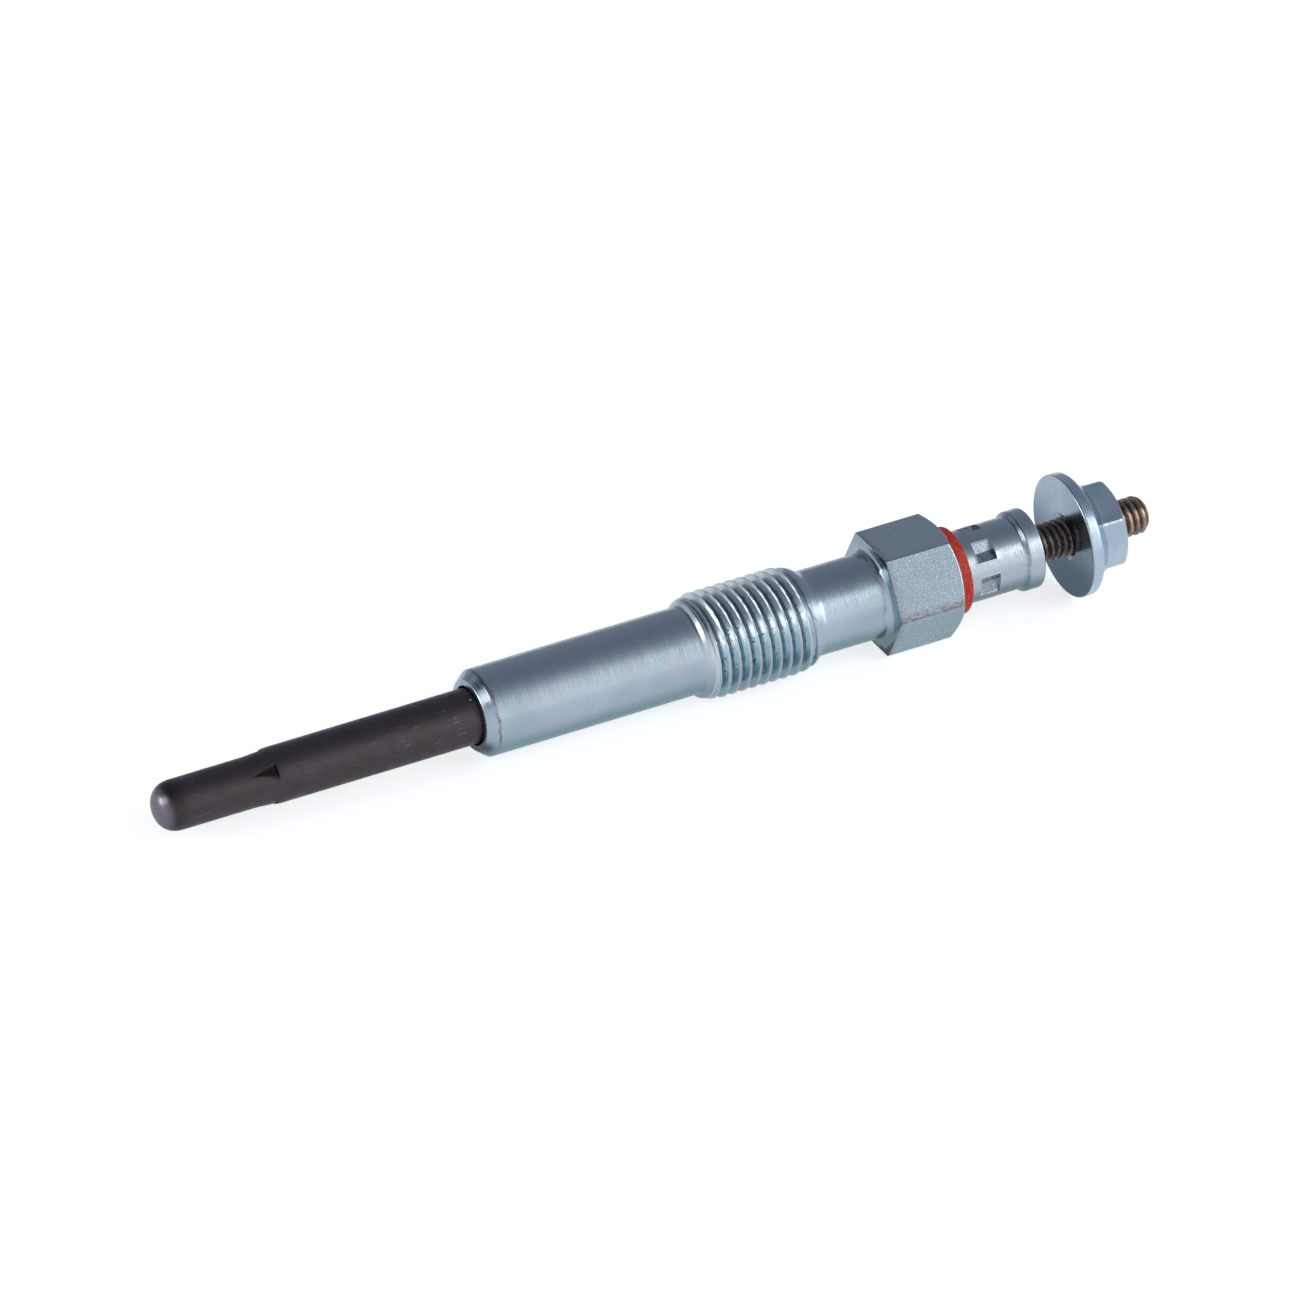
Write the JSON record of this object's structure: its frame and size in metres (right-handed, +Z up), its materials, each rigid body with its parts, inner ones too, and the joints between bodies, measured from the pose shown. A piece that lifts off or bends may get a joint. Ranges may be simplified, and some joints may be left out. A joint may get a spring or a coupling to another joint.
{
  "type": "diesel glow plug",
  "caption": "Sheathed pencil glow plug with a swaged metal rod, threaded housing, spanner hexagon, crimped insulated terminal and a flange nut, lying at rest.",
  "frame": {"origin": "on the surface that the plug lies on, under the middle of its bounding box", "axes": "+X along the plug from the glow tip to the terminal stud, +Z up"},
  "size_m": [0.1198, 0.0138, 0.0137],
  "materials": {
    "sheath": "oxidised nickel alloy, dull dark brown",
    "heating_wire": "drawn resistance wire",
    "regulating_wire": "drawn nickel wire",
    "magnesia": "pressed powder",
    "seal_rubber": "moulded",
    "plated_steel": "turned, blue-passivated zinc plating",
    "terminal_steel": "rolled thread, bare and brownish",
    "red_insulator": "moulded, matt red",
    "plated_sleeve": "turned, zinc plated",
    "plated_nut": "cold formed, blue-passivated zinc plating"
  },
  "bodies": {
    "root": {"glow_tube": "sheath", "heating_coil": "heating_wire", "regulating_coil": "regulating_wire", "magnesia_filling": "magnesia", "tube_seal": "seal_rubber", "housing": "plated_steel", "terminal_stud": "terminal_steel", "body_seal": "seal_rubber", "insulating_washer": "red_insulator", "crimp_sleeve": "plated_sleeve", "flange_nut": "plated_nut"}
  },
  "joints": []
}
